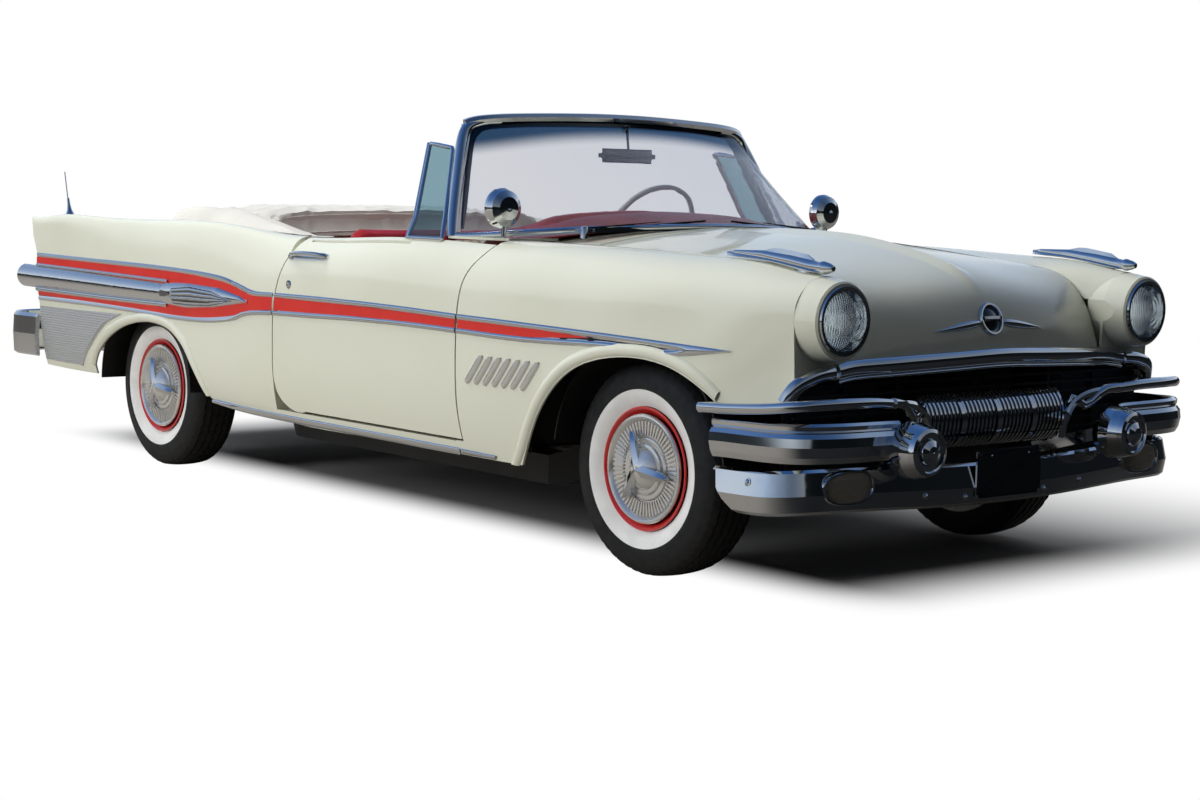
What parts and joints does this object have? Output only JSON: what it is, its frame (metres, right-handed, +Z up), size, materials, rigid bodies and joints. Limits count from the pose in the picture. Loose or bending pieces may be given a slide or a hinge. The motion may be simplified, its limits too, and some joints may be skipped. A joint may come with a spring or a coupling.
{
  "type": "1950s two-door convertible car",
  "caption": "Full-size two-door convertible with folded top, wraparound windshield, tail fins, chrome bumpers, opening doors, hood and trunk lid, steering and rolling wheels.",
  "frame": {"origin": "on the floor under the middle of the car's length and width", "axes": "+X towards the nose, +Y towards the car's left side, +Z up"},
  "size_m": [5.4045, 1.9382, 1.5019],
  "materials": {
    "body_paint": "gloss ivory enamel",
    "chassis_paint": "satin black chassis paint",
    "aluminised_steel": "dull",
    "chrome": "bright plated",
    "glass": "clear, faintly green",
    "lamp_glass": "fluted clear",
    "red_lens": "moulded lens",
    "red_trim": "red coated fabric",
    "steering_plastic": "ivory moulded rim",
    "top_cloth": "off-white vinyl-coated boot",
    "tyre_rubber": "black with a wide white sidewall",
    "wheel_steel": "red rim, chrome cover"
  },
  "bodies": {
    "root": {"fender_right": "body_paint", "fender_left": "body_paint", "quarter_right": "body_paint", "quarter_left": "body_paint", "sills": "body_paint", "cowl": "body_paint", "firewall": "body_paint", "rear_deck": "body_paint", "tail_panel": "body_paint", "frame": "chassis_paint", "floor": "chassis_paint", "wheelhouses": "chassis_paint", "engine": "chassis_paint", "radiator": "chassis_paint", "rear_axle": "chassis_paint", "leaf_springs": "chassis_paint", "propeller_shaft": "chassis_paint", "exhausts": "aluminised_steel", "fuel_tank": "chassis_paint", "windshield_frame": "chrome", "windshield_glass": "glass", "dashboard": "red_trim", "steering_column": "steering_plastic", "front_seat": "red_trim", "rear_seat": "red_trim", "top_boot": "top_cloth", "front_bumper": "chrome", "grille": "chrome", "grille_bars": "chassis_paint", "visor_ends": "chrome", "headlamp_rims": "body_paint", "headlamp_bezels": "chrome", "headlamp_lenses": "lamp_glass", "parking_lamps": "lamp_glass", "side_pods": "chrome", "tail_lamps": "red_lens", "rear_bumper": "chrome", "mirrors": "chrome", "antenna": "chrome"},
    "hood": {"hood": "body_paint", "hood_visor": "chrome"},
    "trunk_lid": {"trunk_lid": "body_paint"},
    "door_right": {"door_right": "body_paint", "vent_window_right": "chrome"},
    "door_left": {"door_left": "body_paint", "vent_window_left": "chrome"},
    "knuckle_right": {"knuckle_right": "chassis_paint"},
    "knuckle_left": {"knuckle_left": "chassis_paint"},
    "steering_wheel": {"steering_wheel": "steering_plastic"},
    "wheel_front_right": {"tyre_front_right": "tyre_rubber", "wheel_front_right": "wheel_steel"},
    "wheel_front_left": {"tyre_front_left": "tyre_rubber", "wheel_front_left": "wheel_steel"},
    "wheel_rear_right": {"tyre_rear_right": "tyre_rubber", "wheel_rear_right": "wheel_steel"},
    "wheel_rear_left": {"tyre_rear_left": "tyre_rubber", "wheel_rear_left": "wheel_steel"}
  },
  "joints": [
    {"name": "steer_right", "type": "hinge", "parent": "root", "child": "knuckle_right", "pos_m": [1.8065, -0.665, 0.345], "axis": [0, 0, 1], "range_deg": [-30, 30]},
    {"name": "steer_left", "type": "hinge", "parent": "root", "child": "knuckle_left", "pos_m": [1.8065, 0.665, 0.345], "axis": [0, 0, 1], "range_deg": [-30, 30]},
    {"name": "steering_wheel_turn", "type": "hinge", "parent": "root", "child": "steering_wheel", "pos_m": [0.4145, 0.4, 1.025], "axis": [-0.8785, 0, 0.4778], "range_deg": [-600, 600]},
    {"name": "roll_front_right", "type": "hinge", "parent": "knuckle_right", "child": "wheel_front_right", "pos_m": [1.8065, -0.75, 0.345], "axis": [0, 1, 0], "continuous": true},
    {"name": "roll_front_left", "type": "hinge", "parent": "knuckle_left", "child": "wheel_front_left", "pos_m": [1.8065, 0.75, 0.345], "axis": [0, 1, 0], "continuous": true},
    {"name": "roll_rear_right", "type": "hinge", "parent": "root", "child": "wheel_rear_right", "pos_m": [-1.3435, -0.75, 0.345], "axis": [0, 1, 0], "continuous": true},
    {"name": "roll_rear_left", "type": "hinge", "parent": "root", "child": "wheel_rear_left", "pos_m": [-1.3435, 0.75, 0.345], "axis": [0, 1, 0], "continuous": true},
    {"name": "door_right_swing", "type": "hinge", "parent": "root", "child": "door_right", "pos_m": [0.868, -0.928, 0.67], "axis": [0, 0, 1], "range_deg": [0, 60]},
    {"name": "door_left_swing", "type": "hinge", "parent": "root", "child": "door_left", "pos_m": [0.868, 0.928, 0.67], "axis": [0, 0, -1], "range_deg": [0, 60]},
    {"name": "hood_lift", "type": "hinge", "parent": "root", "child": "hood", "pos_m": [1.1885, 0, 1.018], "axis": [0, -1, 0], "range_deg": [0, 45]},
    {"name": "trunk_lid_lift", "type": "hinge", "parent": "root", "child": "trunk_lid", "pos_m": [-1.3135, 0, 1], "axis": [0, 1, 0], "range_deg": [0, 50]}
  ],
  "couplings": [
    {"joint": "steer_left", "follows": "steer_right", "ratio": 1},
    {"joint": "steering_wheel_turn", "follows": "steer_right", "ratio": 20}
  ]
}
